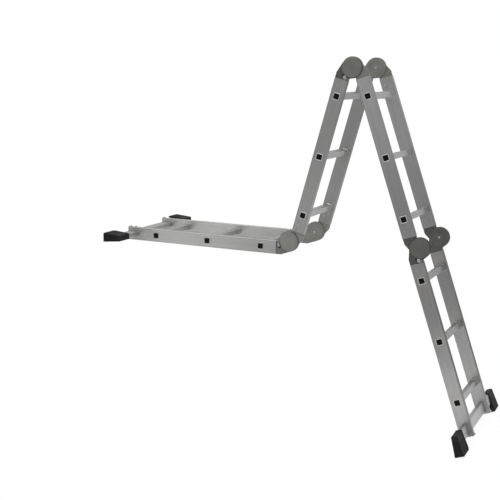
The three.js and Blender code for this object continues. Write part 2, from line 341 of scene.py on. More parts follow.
def coated(name, colour, rough, metallic=0.0, spec=0.5, cells=900, wear=(0.42, 0.42, 0.41), chip=0.5):
    """A sprayed or moulded grey finish: orange peel, faint clouding, painted shade in the corners and rubbed edges."""
    k = Mat(name)
    peel = k.noise((cells, cells, cells), detail=3, rough=0.5)
    cloud = k.noise((22, 22, 22), detail=5, rough=0.6, offset=(5, 1, 2), distortion=0.5)
    speck = k.noise((330, 330, 330), detail=2, rough=0.6, offset=(7, 3, 3))
    hi, lo = tuple(c * 1.12 for c in colour), tuple(c * 0.86 for c in colour)
    col = k.ramp(cloud, [(0.30, lo), (0.52, colour), (0.72, hi)])
    col = k.mix(k.span(speck, 0.60, 0.72, 0, 0.35), col, tuple(c * 1.35 for c in colour))
    col = k.mix(k.span(speck, 0.38, 0.30, 0, 0.35), col, tuple(c * 0.62 for c in colour))
    edge = k.math("MULTIPLY", k.pointy(0.52, 0.60), k.span(cloud, 0.35, 0.6, 0.25, 1.0))
    col = k.mix(k.math("MULTIPLY", edge, chip), col, wear)
    # painted shade: darker in the corners and hollows
    col = k.mix(k.pointy(0.485, 0.42, (0, 0.65)), col, tuple(c * 0.4 for c in colour))
    r = k.math("ADD", k.span(cloud, 0.3, 0.7, rough - 0.05, rough + 0.06), k.span(peel, 0.3, 0.7, -0.03, 0.03))
    n = k.bump(peel, 0.25, 0.00025)
    n = k.bump(speck, 0.12, 0.0003, n)
    return k.done(col, r, n, metallic=metallic, spec=spec)


def rubber(name, colour, rough, dust=0.10, spec=0.4):
    """Black moulded rubber or plastic: fine spark texture, a bloom of dust on high edges."""
    k = Mat(name)
    spark = k.noise((1500, 1500, 1500), detail=4, rough=0.6)
    cloud = k.noise((45, 45, 45), detail=4, rough=0.6, offset=(2, 6, 1))
    c = colour
    col = k.ramp(cloud, [(0.3, (c * 0.7,) * 3), (0.7, (c * 1.35, c * 1.33, c * 1.28))])
    scuff = k.noise((90, 90, 600), detail=3, rough=0.6, offset=(1, 9, 4), distortion=0.8)
    col = k.mix(k.span(scuff, 0.60, 0.70, 0, 0.35), col, (dust, dust * 0.98, dust * 0.93))
    col = k.mix(k.math("MULTIPLY", k.pointy(0.52, 0.62), k.span(cloud, 0.4, 0.65, 0.1, 0.7)), col, (dust * 1.2, dust * 1.17, dust * 1.1))
    r = k.math("ADD", k.span(cloud, 0.3, 0.7, rough - 0.08, rough + 0.08), k.span(spark, 0.3, 0.7, -0.04, 0.04))
    n = k.bump(spark, 0.3, 0.0002)
    n = k.bump(scuff, 0.1, 0.0003, n)
    return k.done(col, r, n, spec=spec)


def steel(name, light, dark, rough, cells=1200):
    """Zinc-plated steel: faint spangle, turned rings rubbed bright."""
    k = Mat(name)
    v = k.voronoi((260, 260, 260))
    fine = k.noise((cells, cells, cells), detail=4, rough=0.6)
    col = k.ramp(v, [(0.1, (light, light, light * 0.985)), (0.8, (dark, dark, dark * 0.97))])
    col = k.mix(0.3, col, k.ramp(fine, [(0.3, dark), (0.7, light)]))
    col = k.mix(k.pointy(0.515, 0.60, (0, 0.6)), col, min(1, light * 1.2))
    # painted shade: darker in the corners and hollows
    col = k.mix(k.pointy(0.485, 0.42, (0, 0.75)), col, dark * 0.3)
    r = k.math("ADD", k.span(v, 0.1, 0.7, rough - 0.05, rough + 0.08), k.span(fine, 0.3, 0.7, -0.04, 0.04))
    return k.done(col, r, k.bump(fine, 0.2, 0.00015), metallic=1.0)


# painted light and shade along each section: the long leg darker round its hinge, the level section lighter at its free
# end
PAINTED_LIGHT_ALONG = {
    "a": [(0, 0.66), (170, 0.73), (310, 0.88), (500, 0.98), (680, 1.00), (770, 0.88), (815, 0.77), (860, 0.68)],
    "b": [(0, 0.68), (170, 0.68), (420, 0.70), (640, 0.79), (780, 0.76), (850, 0.77)],
    "c": [(0, 0.97), (120, 0.90), (260, 0.85), (390, 0.80), (450, 0.70), (600, 0.62), (700, 0.57), (850, 0.56)],
    "d": [(0, 0.52), (100, 0.57), (180, 0.49), (320, 0.45), (420, 0.54), (520, 0.57), (680, 0.57), (780, 0.66), (815, 0.63), (860, 0.47)],
}
# each rail's tone a little lighter or darker than its twin's, for the light falling on it: painted light and shade
RAIL_LIGHT_AND_SHADE = {"a_front": 0.98, "a_rear": 1.02, "b_front": 1.00, "b_rear": 1.02, "c_front": 0.95, "c_rear": 1.08, "d_front": 0.96, "d_rear": 1.02}
WARM = {"a": (1.0, 0.995, 0.970), "b": (1.0, 0.992, 0.975), "c": (1.0, 1.0, 0.995), "d": (1.0, 0.988, 0.970)}
RAIL_M = {}
for key_, f_ in RAIL_LIGHT_AND_SHADE.items():
    RAIL_M[key_] = metal("rail_aluminium_" + key_, 0.65, 0.52, 0.34, 900, aniso=0.65, tangent=(0, 0, 1), tint=WARM[key_[0]], edge_wear_and_shade=0.62, profile=[(at_, v_ * f_) for at_, v_ in PAINTED_LIGHT_ALONG[key_[0]]])
# the rungs are one aluminium, made lighter or darker section by section for the light falling on each: painted light
# and shade
RUNG_M = {s: metal("rung_aluminium_" + s, 0.46 * f, 0.37 * f, 0.38, 1100, aniso=0.5, tangent=(0, 1, 0), blotch=0.6, scratch=0.8, edge_wear_and_shade=0.95) for s, f in (("a", 1.06), ("b", 1.34), ("c", 1.38), ("d", 1.22))}
BAR_M = metal("bar_aluminium", 0.44, 0.32, 0.40, 700, aniso=0.4, tangent=(0, 1, 0), blotch=0.9, scratch=0.6)
def shade(c, f):
    return tuple(v * f for v in c)


# one grey paint, made lighter or darker per hinge, darker still on the outer cheeks and per hinge on the covers, for
# the light and shade falling on each: painted light and shade
GREY = (0.200, 0.205, 0.183)
HINGE_M = {h: coated("hinge_grey_" + h, shade(GREY, f), 0.45, metallic=0.25, wear=shade((0.34, 0.34, 0.32), f)) for h, f in (("ab", 0.90), ("bc", 0.84), ("cd", 0.38))}
NECK_M = {h: coated("neck_grey_" + h, shade(GREY, f), 0.50, metallic=0.25, wear=shade((0.34, 0.34, 0.32), f)) for h, f in (("ab", 0.62), ("bc", 0.36), ("cd", 0.27))}
COVER_M = {h: coated("cover_grey_" + h, shade(GREY, f), 0.52, wear=shade((0.30, 0.31, 0.28), f), cells=1100, chip=0.4) for h, f in (("ab", 0.86), ("bc", 0.63), ("cd", 0.38))}
PLATE_M = steel("plate_zinc", 0.46, 0.33, 0.40)
RIVET_M = steel("rivet_zinc", 0.50, 0.36, 0.34)
LATCH_M = steel("latch_zinc", 0.52, 0.38, 0.36)
BOLT_M = steel("bolt_zinc", 0.50, 0.33, 0.38)
FOOT_M = rubber("foot_rubber", 0.0045, 0.66, dust=0.030, spec=0.22)
PLUG_M = rubber("plug_plastic", 0.0015, 0.60, dust=0.008, spec=0.12)


# ------------------------------------------------------------------ mesh helpers
def prism(pts, lo, hi, axis="y"):
    """A closed slab: an outline of (x, z) between two heights along Y, or of (x, y) along Z."""
    bm = bmesh.new()
    place = (lambda p, h: (p[0], h, p[1])) if axis == "y" else (lambda p, h: (p[0], p[1], h))
    a = [bm.verts.new(place(p, lo)) for p in pts]
    b = [bm.verts.new(place(p, hi)) for p in pts]
    bm.faces.new(a)
    bm.faces.new(list(reversed(b)))
    n = len(pts)
    for i in range(n):
        bm.faces.new((a[i], b[i], b[(i + 1) % n], a[(i + 1) % n]))
    bmesh.ops.recalc_face_normals(bm, faces=bm.faces)
    return bm


def block(x0, x1, y0, y1, z0, z1, turn=0.0):
    """A box, optionally turned about Y."""
    x0, x1, y0, y1, z0, z1 = min(x0, x1), max(x0, x1), min(y0, y1), max(y0, y1), min(z0, z1), max(z0, z1)
    bm = prism([(x0, z0), (x1, z0), (x1, z1), (x0, z1)], y0, y1)
    if turn:
        bmesh.ops.rotate(bm, verts=bm.verts, cent=(0, 0, 0), matrix=Matrix.Rotation(math.radians(turn), 3, "Y"))
    return bm


def rounded(w, h, r, n=6, cx=0.0, cy=0.0):
    """A rounded rectangle's outline, anticlockwise."""
    pts = []
    for sx, sy, start in ((1, -1, -90), (1, 1, 0), (-1, 1, 90), (-1, -1, 180)):
        ox, oy = sx * (w / 2 - r), sy * (h / 2 - r)
        for i in range(n + 1):
            a = math.radians(start + 90 * i / n)
            pts.append((cx + ox + r * math.cos(a), cy + oy + r * math.sin(a)))
    return pts


def fillet(pts, radii, n=5):
    """An outline with each corner rounded to its own radius."""
    out = []
    count = len(pts)
    for i, (p, r) in enumerate(zip(pts, radii)):
        p = Vector(p)
        a, b = Vector(pts[i - 1]) - p, Vector(pts[(i + 1) % count]) - p
        if r <= 0:
            out.append(tuple(p))
            continue
        ang = a.angle(b)
        d = min(r / math.tan(ang / 2), a.length * 0.48, b.length * 0.48)
        rr = d * math.tan(ang / 2)
        s, e = p + a.normalized() * d, p + b.normalized() * d
        c = p + (a.normalized() + b.normalized()).normalized() * (rr / math.sin(ang / 2))
        v0, v1 = s - c, e - c
        turn = v0.angle_signed(v1)
        for j in range(n + 1):
            t = -turn * j / n
            out.append(tuple(c + Vector((v0.x * math.cos(t) - v0.y * math.sin(t), v0.x * math.sin(t) + v0.y * math.cos(t)))))
    return out


def lathe(profile, n=64, flip=1):
    """A closed turned shape round Y from (radius, height) points; flip -1 turns it over."""
    bm = bmesh.new()
    rings = []
    for r, h in profile:
        h *= flip
        if r < 1e-6:
            rings.append([bm.verts.new((0, h, 0))])
        else:
            rings.append([bm.verts.new((r * math.sin(2 * math.pi * i / n), h, r * math.cos(2 * math.pi * i / n))) for i in range(n)])
    for a, b in zip(rings, rings[1:]):
        for i in range(n):
            j = (i + 1) % n
            if len(a) == 1 and len(b) > 1:
                bm.faces.new((a[0], b[i], b[j]))
            elif len(b) == 1 and len(a) > 1:
                bm.faces.new((a[i], b[0], a[j]))
            elif len(a) > 1:
                bm.faces.new((a[i], b[i], b[j], a[j]))
    bmesh.ops.recalc_face_normals(bm, faces=bm.faces)
    return bm


def loft(rings, loop=False):
    """A skin over rings of equally many points: capped at both ends, or joined end to start."""
    bm = bmesh.new()
    vs = [[bm.verts.new(p) for p in ring] for ring in rings]
    n = len(vs[0])
    pairs = list(zip(vs, vs[1:])) + ([(vs[-1], vs[0])] if loop else [])
    for a, b in pairs:
        for i in range(n):
            j = (i + 1) % n
            bm.faces.new((a[i], a[j], b[j], b[i]))
    if not loop:
        bm.faces.new(vs[0])
        bm.faces.new(vs[-1])
    bmesh.ops.recalc_face_normals(bm, faces=bm.faces)
    return bm


def merge(parts):
    """Several closed shells as one mesh."""
    out = bmesh.new()
    for bm in parts:
        me = bpy.data.meshes.new("tmp")
        bm.to_mesh(me)
        bm.free()
        out.from_mesh(me)
        bpy.data.meshes.remove(me)
    return out


def temp(bm, name):
    me = bpy.data.meshes.new(name)
    bm.to_mesh(me)
    bm.free()
    ob = bpy.data.objects.new(name, me)
    scene.collection.objects.link(ob)
    return ob


def evaluated(ob):
    dg = bpy.context.evaluated_depsgraph_get()
    return bpy.data.meshes.new_from_object(ob.evaluated_get(dg), preserve_all_data_layers=True, depsgraph=dg)


def shaped(bm, cuts=(), adds=(), bevel=0.0, segments=3, angle=32, clean=True):
    """A mesh in millimetres: bm with other shapes added and cut, then its hard edges rounded."""
    ob = temp(bm, "work")
    others = []
    for kind, group in (("UNION", adds), ("DIFFERENCE", cuts)):
        for c in group:
            o = temp(c, "tool")
            others.append(o)
            m = ob.modifiers.new("b", "BOOLEAN")
            m.operation, m.solver, m.object = kind, "EXACT", o
    if bevel:
        m = ob.modifiers.new("bevel", "BEVEL")
        m.width, m.segments, m.limit_method = bevel, segments, "ANGLE"
        m.angle_limit = math.radians(angle)
        m.use_clamp_overlap = True
        m.miter_outer = "MITER_ARC"
    me = evaluated(ob)
    for o in [ob, *others]:
        d = o.data
        bpy.data.objects.remove(o)
        bpy.data.meshes.remove(d)
    if clean:
        b = bmesh.new()
        b.from_mesh(me)
        bmesh.ops.remove_doubles(b, verts=b.verts, dist=0.002)
        bmesh.ops.dissolve_degenerate(b, edges=b.edges, dist=0.002)
        b.to_mesh(me)
        b.free()
    return me


def plain(bm):
    me = bpy.data.meshes.new("mesh")
    bm.to_mesh(me)
    bm.free()
    return me


def piece(name, me, place, body, material, grain="z", nodes=(), sharp=40, along=False):
    """One finished piece: metres, smooth normals with sharp edges kept, its grain coordinates, its body. With along, the first and third grain coordinates are the true ones in the piece's frame."""
    me.transform(Matrix.Scale(MM, 4))
    me.name = name
    me.materials.clear()
    me.materials.append(material)
    for p in me.polygons:
        p.use_smooth = True
        p.material_index = 0
    me.set_sharp_from_angle(angle=math.radians(sharp))
    ob = bpy.data.objects.new(name, me)
    scene.collection.objects.link(ob)
    w = ob.modifiers.new("normals", "WEIGHTED_NORMAL")
    w.keep_sharp = True
    w.weight = 60
    final = evaluated(ob)
    ob.modifiers.clear()
    ob.data = final
    bpy.data.meshes.remove(me)
    final.name = name
    a = final.attributes.new("grain", "FLOAT_VECTOR", "POINT")
    order = {"z": (0, 1, 2), "y": (0, 2, 1), "x": (2, 1, 0)}[grain]
    seed = (sum(ord(c) * (i + 3) for i, c in enumerate(name)) % 97) * 0.137
    vals = []
    for v in final.vertices:
        vals += [v.co[order[0]] + (0 if along else seed), v.co[order[1]] + seed * 0.7, v.co[order[2]] + (0 if along else seed * 1.9)]
    a.data.foreach_set("vector", vals)
    ob.matrix_world = place
    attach(ob, body)
    if nodes:
        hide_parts(*nodes)
    return ob


# ------------------------------------------------------------------ rails
def rail_outline():
    """The extrusion: rounded corners and two shallow die grooves in each broad face."""
    w, t, r = RAIL_D / 2, RAIL_T / 2, 3.0
    pts = []

    def corner(cx, cy, start):
        for i in range(7):
            a = math.radians(start + 15 * i)
            pts.append((cx + r * math.cos(a), cy + r * math.sin(a)))

    def groove(x, y, s):
        # s is the direction of travel along X, y the face
        d = 0.45 * (1 if y > 0 else -1)
        for dx, dy in ((-1.0, 0), (-0.45, d), (0.45, d), (1.0, 0)):
            pts.append((x + s * dx, y - dy))

    corner(w - r, -t + r, -90)
    corner(w - r, t - r, 0)
    for x in (21.0, -21.0):
        groove(x, t, -1)
    corner(-w + r, t - r, 90)
    corner(-w + r, -t + r, 180)
    for x in (-21.0, 21.0):
        groove(x, -t, 1)
    return pts


def rail(s0, s1, bar_n=None):
    cuts = [prism(rounded(RAIL_D - 2 * WALL, RAIL_T - 2 * WALL, 1.4, 3), s0 - 5, s1 + 5, "z")]
    h = RUNG + 0.8
    cuts.append(merge([prism([(x, z + PITCH * (i + 0.5)) for x, z in rounded(h, h, 3.4, 4)], -RAIL_T, RAIL_T) for i in range(3)]))
    if bar_n is not None:
        n = bar_n * BAR_N
        cuts.append(prism(rounded(BAR_T + 0.8, BAR_H + 0.8, 2.2, 3, n, BAR_S), -RAIL_T, RAIL_T))
    return shaped(prism(rail_outline(), s0, s1, "z"), cuts, bevel=0.4, segments=2, angle=50)


for s, s0, s1, bar_n in (
    ("a", FORK_END, END, 1),
    ("b", FORK_END, SPAN - DISC_END, None),
    ("c", DISC_END, SPAN - DISC_END, None),
    ("d", FORK_END, END, -1),
):
    for side, o in SIDES:
        piece(f"stile_{s}_{side}", rail(s0, s1, bar_n), SEC[s] @ shift(0, o * YC, 0), BODY[s], RAIL_M[f"{s}_{side}"], "z", [f"rail_{s}_{side}"], along=True)


# ------------------------------------------------------------------ rungs, with beads inside the rails and a flared lip outside
def square_ring(y, half, r, groove):
    """A rounded square in XZ at y, with five shallow grip grooves in each face."""
    pts = []
    step = (half - r) * 2 / 5
    for q in range(4):
        c, s = (1, 0, -1, 0)[q], (0, 1, 0, -1)[q]

        def put(u, v):
            pts.append((c * u - s * v, y, s * u + c * v))

        for g in range(5):
            m = -(half - r) + step * (g + 0.5)
            for du, dv in ((-0.36, 0), (-0.2, 1), (0.2, 1), (0.36, 0)):
                put(half - groove * dv, m + step * du)
        for i in range(6):
            a = math.radians(90 * (i + 0.5) / 6)
            put(half - r + r * math.cos(a), half - r + r * math.sin(a))
    return pts


def rung():
    h, r, g = RUNG / 2, 3.2, 0.55
    half = [
        (0, 0, g), (IN_Y - 5.5, 0, g), (IN_Y - 4.9, 0.15, g * 0.6), (IN_Y - 4.3, 0.6, 0.1), (IN_Y - 3.4, 1.1, 0), (IN_Y - 2.4, 1.35, 0),
        (IN_Y - 1.2, 1.25, 0), (IN_Y - 0.3, 0.9, 0), (IN_Y - 0.1, 0.0, 0), (OUT_Y + 0.1, 0.0, 0), (OUT_Y + 0.25, 1.5, 0), (OUT_Y + 0.8, 1.75, 0),
        (OUT_Y + 1.25, 1.2, 0), (OUT_Y + 1.4, 0.2, 0), (OUT_Y + 1.2, -1.1, 0), (OUT_Y + 0.5, -1.6, 0), (OUT_Y - 6, -1.6, 0),
    ]
    ends = [(y, e, gg) for y, e, gg in half]
    seq = [(-y, e, gg) for y, e, gg in reversed(ends)] + ends[1:]
    rings = [square_ring(y, h + e, max(0.8, r + e * 0.8), gg) for y, e, gg in seq]
    return loft(rings, loop=True)


def plug(o):
    """A black end plug: a skirt inside the tube, a face just inside the lip, and a raised pad."""
    seq = [(OUT_Y - 9, 11.6, 2.4), (OUT_Y - 1, 12.1, 2.4), (OUT_Y + 0.2, 12.15, 2.4), (OUT_Y + 0.7, 11.9, 2.4), (OUT_Y + 0.9, 11.3, 2.2), (OUT_Y + 0.95, 10.4, 2.0),
           (OUT_Y + 1.5, 10.1, 2.0), (OUT_Y + 1.95, 9.5, 1.9), (OUT_Y + 2.05, 8.4, 1.6), (OUT_Y + 2.0, 3.0, 0.8)]
    rings = [[(x, o * y, z) for x, z in rounded(2 * h, 2 * h, r, 5)] for y, h, r in seq]
    return loft(rings)


for s in "abcd":
    for i in range(3):
        at = SEC[s] @ shift(0, 0, PITCH * (i + 0.5))
        piece(f"tread_{s}{i + 1}", plain(rung()), at, BODY[s], RUNG_M[s], "y", [f"rung_{s}{i + 1}"], sharp=50)
        for side, o in SIDES:
            piece(f"plug_{s}{i + 1}_{side}", plain(plug(o)), at, BODY[s], PLUG_M, "y", sharp=50)


# ------------------------------------------------------------------ hinges
def plate_outline(R, k, s, n=96, tongue=True):
    """Disc round the pin, joined by its tangents to a neck as wide as the rail, which starts at height s, then the narrower tongue inside the rail."""
    near, far = OFF - RAIL_D / 2 + 0.3, OFF + RAIL_D / 2 - 0.3
    sn, sf = s - NECK_NEAR, s - NECK_FAR
    t1 = math.atan2(near, sn) - math.acos(R / math.hypot(near, sn))
    t2 = math.atan2(far, sf) + math.acos(R / math.hypot(far, sf))
    a0, a1 = t2, t1 + 2 * math.pi
    pts = [(R * math.sin(a0 + (a1 - a0) * i / n), R * math.cos(a0 + (a1 - a0) * i / n)) for i in range(n + 1)]
    if tongue:
        pts += [(near, sn), (near, s), (OFF - TONGUE_W, s), (OFF - TONGUE_W, TONGUE_END), (OFF + TONGUE_W, TONGUE_END), (OFF + TONGUE_W, s), (far, s)]
    else:
        pts += [(near, sn), (near, s), (far, s)]
    # the shoulder, rounded
    p, a, b = Vector((far, sf)), Vector((far, sf + 1)) - Vector((far, sf)), Vector(pts[0]) - Vector((far, sf))
    half = a.angle(b) / 2
    d = 14 / math.tan(half)
    c = p + (a.normalized() + b.normalized()).normalized() * (14 / math.sin(half))
    v0 = p + a.normalized() * d - c
    turn = 2 * (math.pi / 2 - half)
    pts += [(c.x + v0.x * math.cos(q) + v0.y * math.sin(q), c.y - v0.x * math.sin(q) + v0.y * math.cos(q)) for q in (turn * i / 10 for i in range(11))]
    return [(k * x, z) for x, z in pts]


def lock_box(k, r0, r1, w, y0, y1):
    return block(-w, w, y0, y1, r0, r1, k * LOCK_DIR)


def ring_bead(R, w, h, y, flip, n=72):
    """A pressed ring standing h proud of a face at height y."""
    p = [(R - w, y - 0.6)] + [(R - w * math.cos(math.pi * i / 8), y + h * math.sin(math.pi * i / 8)) for i in range(9)] + [(R + w, y - 0.6)]
    bm = bmesh.new()
    rings = [[bm.verts.new((r * math.sin(2 * math.pi * i / n), hh * flip, r * math.cos(2 * math.pi * i / n))) for i in range(n)] for r, hh in p]
    for a, b in zip(rings, rings[1:] + rings[:1]):
        for i in range(n):
            j = (i + 1) % n
            bm.faces.new((a[i], a[j], b[j], b[i]))
    bmesh.ops.recalc_face_normals(bm, faces=bm.faces)
    return bm


def cheek_outer(k, o):
    y = sorted((o * CHEEK_0, o * CHEEK_1))
    w = sorted((0, o * (CHEEK_1 + 2)))
    cuts = [lock_box(k, 45.4, 65, 8.8, *w), lock_box(k, 45.4, 57.5, 15, *w), lathe([(0, -20), (PIN_R + 0.4, -20), (PIN_R + 0.4, 20), (0, 20)], 48)]
    return shaped(prism(plate_outline(CHEEK_R, k, FORK_END - 0.2), *y), cuts, bevel=0.7)


def cheek_inner(k, o):
    y = sorted((-o * CHEEK_0, -o * CHEEK_1))
    cuts = [lathe([(0, -20), (PIN_R + 0.4, -20), (PIN_R + 0.4, 20), (0, 20)], 48)]
    me = shaped(prism(plate_outline(CHEEK_R, k, FORK_END - 0.2), *y), cuts, bevel=0.7)
    b = bmesh.new()
    b.from_mesh(me)
    bead = plain(ring_bead(33, 2.2, 0.9, CHEEK_1, -o))
    b.from_mesh(bead)
    boss = plain(lathe([(PIN_R + 0.5, CHEEK_1 - 0.5), (PIN_R + 0.5, CHEEK_1 + 0.2), (17.0, CHEEK_1 + 0.25), (18.2, CHEEK_1 - 0.5), (PIN_R + 0.5, CHEEK_1 - 0.5)], 64, -o))
    b.from_mesh(boss)
    bmesh.ops.remove_doubles(b, verts=b.verts, dist=0.001)
    b.to_mesh(me)
    b.free()
    bpy.data.meshes.remove(bead)
    bpy.data.meshes.remove(boss)
    return me


def web(k):
    """The bridge between the two cheeks at the rail's mouth, with the lock bolt's channel through it."""
    body = block(k * (OFF - RAIL_D / 2 + 0.6), k * (OFF + RAIL_D / 2 - 0.6), -CHEEK_0 - 0.2, CHEEK_0 + 0.2, 50.6, FORK_END - 0.4)
    tip = block(k * (OFF - TONGUE_W), k * (OFF + TONGUE_W), -CHEEK_0 - 0.2, CHEEK_0 + 0.2, 100, TONGUE_END)
    return shaped(body, [lock_box(k, 40, 86, 8.8, -6, 6)], [tip], bevel=0.4, segments=2)


def leaf(k):
    cuts = []
    for a in NOTCH_AT:
        far = 62 if a < 20 else 47
        cuts.append(block(-5.4, 5.4, -10, 10, 37, far, -k * (a + LOCK_DIR)))
    cuts.append(lathe([(0, -20), (PIN_R + 0.4, -20), (PIN_R + 0.4, 20), (0, 20)], 48))
    pad = block(k * (OFF - TONGUE_W), k * (OFF + TONGUE_W), -CHEEK_1, CHEEK_1, DISC_END + 1, DISC_END + 12)
    return shaped(prism(plate_outline(DISC_R, k, DISC_END - 0.1), -DISC_H, DISC_H), cuts, [pad], bevel=0.6)


def cover(o):
    y = CHEEK_1 + 0.3
    p = [(0, y), (COVER_R - 0.7, y), (COVER_R, y + 0.6), (COVER_R, y + 1.7), (COVER_R - 0.35, y + 2.5), (COVER_R - 1.1, y + 3.15), (COVER_R - 2.4, y + 3.7),
         (COVER_R - 4.2, y + 4.0), (39.0, y + 4.1), (38.5, y + 3.75), (37.9, y + 3.6), (37.3, y + 3.75), (36.8, y + 4.15), (30, y + 4.3), (16, y + 4.45),
         (13.2, y + 4.45), (12.7, y + 4.1), (12.1, y + 4.0), (11.5, y + 4.15), (11.0, y + 4.7), (9.6, y + 5.1), (6, y + 5.35), (2.6, y + 5.4), (2.2, y + 4.9), (0, y + 4.8)]
    return plain(lathe(p, 96, o))


def pin(o):
    """The pin and its peened head, standing through the flange."""
    c = CHEEK_1
    p = [(0, -c + 0.1), (PIN_R - 0.4, -c + 0.1), (PIN_R, -c + 0.5), (PIN_R, c + 0.6), (5.9, c + 0.6), (5.9, c + 2.0), (5.6, c + 2.6), (4.7, c + 3.05), (3.4, c + 3.2), (1.6, c + 3.2), (1.1, c + 2.8), (0, c + 2.7)]
    return plain(lathe(p, 64, -o))


def flange(o):
    """The dished washer under the pin's head."""
    c = CHEEK_1
    p = [(6.0, c + 0.65), (PIN_R, c + 0.65), (PIN_R + 0.4, c + 0.3), (12.2, c + 0.3), (12.8, c + 0.7), (12.6, c + 1.15), (11.6, c + 1.5), (9.6, c + 1.75), (7.6, c + 1.85), (6.4, c + 1.6), (6.0, c + 1.3), (6.0, c + 0.65)]
    return plain(lathe(p, 64, -o))


def latch(k, o):
    """The lock bolt, its carriage and the thumb tab, ridged across."""
    t = sorted((0, o * 13.4))
    cuts = []
    for i in range(4):
        r = 47.4 + i * 2.3
        cuts.append(lock_box(k, r, r + 1.1, 12, *sorted((o * 12.6, o * 15))))
    return shaped(lock_box(k, 52, 72, 8.3, -3.8, 3.8), cuts, [lock_box(k, DISC_R + 0.7, 56, 4.6, -3.7, 3.7), lock_box(k, 46.1, 56.1, 6.9, *t)], bevel=0.55, segments=2)


for s, name, k in (("a", "ab", -1), ("b", "bc", 1), ("d", "cd", 1)):
    for side, o in SIDES:
        at = SEC[s] @ shift(-k * OFF, o * YC, 0)
        body = BODY[s]
        piece(f"cheek_out_{name}_{side}", cheek_outer(k, o), at, body, NECK_M[name], "z", [f"fork_{name}_{side}"])
        piece(f"cheek_in_{name}_{side}", cheek_inner(k, o), at, body, HINGE_M[name], "z")
        piece(f"web_{name}_{side}", web(k), at, body, PLATE_M, "z")
        piece(f"shell_{name}_{side}", cover(o), at, body, COVER_M[name], "z", [f"cover_{name}_{side}"], sharp=35)
        piece(f"rivet_{name}_{side}", pin(o), at, body, RIVET_M, "z", [f"pin_{name}_{side}"], sharp=35)
        piece(f"flange_{name}_{side}", flange(o), at, body, HINGE_M[name], "z", sharp=35)
        piece(f"latch_{name}_{side}", latch(k, o), at, f"lock_{name}_{side}", LATCH_M, "z", [f"lock_{name}_{side}"])
for side, o in SIDES:
    piece(f"leaf_ab_{side}", leaf(1), SEC["b"] @ shift(OFF, o * YC, SPAN) @ HALF_TURN, BODY["b"], HINGE_M["ab"], "z", [f"disc_ab_{side}"])
    piece(f"leaf_bc_{side}", leaf(-1), SEC["c"] @ shift(OFF, o * YC, 0), BODY["c"], HINGE_M["bc"], "z", [f"disc_bc_{side}"])
    piece(f"leaf_cd_{side}", leaf(-1), SEC["c"] @ shift(-OFF, o * YC, SPAN) @ HALF_TURN, BODY["c"], HINGE_M["cd"], "z", [f"disc_cd_{side}"])


# ------------------------------------------------------------------ small hardware
def blind_rivet(at, out):
    """A domed rivet head on a face whose outward side is out along Y."""
    p = [(0, -0.8), (3.8, -0.8), (3.9, 0.0), (3.7, 0.22), (3.2, 0.4), (2.6, 0.48), (1.9, 0.5), (1.6, 0.2), (0, 0.15)]
    bm = lathe(p, 24, out)
    bmesh.ops.translate(bm, verts=bm.verts, vec=at)
    return bm


for s, ends in (("a", (0,)), ("b", (0, 1)), ("c", (0, 1)), ("d", (0,))):
    for side, o in SIDES:
        heads = []
        for e in ends:
            for x, z in ((11, 90), (-11, 109)):
                zz = z if e == 0 else SPAN - z
                heads += [blind_rivet((x, o * OUT_Y, zz), o), blind_rivet((x, o * IN_Y, zz), -o)]
        piece(f"studs_{s}_{side}", plain(merge(heads)), SEC[s], BODY[s], RAIL_M[f"{s}_{side}"], "z", sharp=50, along=True)


def bolt(n):
    """A hexagon head on its washer, standing on a face whose outward side is n along X."""
    x0 = RAIL_D / 2
    ring = lathe([(0, x0 - 0.5), (7.2, x0 - 0.5), (7.4, x0), (7.4, x0 + 1.1), (7.0, x0 + 1.5), (0, x0 + 1.5)], 40)
    hexa = []
    for r, h in ((5.2, x0 + 1.5), (5.75, x0 + 1.8), (5.75, x0 + 4.5), (5.2, x0 + 5.1), (4.2, x0 + 5.3)):
        hexa.append([(r * math.sin(math.radians(60 * i)), h, r * math.cos(math.radians(60 * i))) for i in range(6)])
    bm = merge([ring, loft(hexa)])
    bmesh.ops.rotate(bm, verts=bm.verts, cent=(0, 0, 0), matrix=Matrix.Rotation(math.radians(-90 * n), 3, "Z"))
    return bm


def stabiliser():
    """A rectangular tube along Y with shallow ribs on its broad faces."""
    def ring(y, inset):
        pts = []
        w, h, r = BAR_T / 2 - inset, BAR_H / 2 - inset, max(0.6, 2.2 - inset)
        g = 0.0 if inset else 0.5
        for sx, sz, start in ((1, -1, -90), (1, 1, 0), (-1, 1, 90), (-1, -1, 180)):
            for i in range(5):
                a = math.radians(start + 22.5 * i)
                pts.append((sx * (w - r) + r * math.cos(a), sz * (h - r) + r * math.sin(a)))
            if (sx, sz) in ((1, -1), (-1, 1)):
                for j in range(7):
                    m = -18 + 6 * j
                    for dz, dv in ((-1.5, 0), (-0.9, 1), (0.9, 1), (1.5, 0)):
                        pts.append((sx * (w - g * dv), -sz * (m + dz)))
        return [(x, y, z) for x, z in pts]

    b = BAR_HALF
    return loft([ring(-b, 0), ring(b, 0), ring(b, 2), ring(-b, 2)], loop=True)


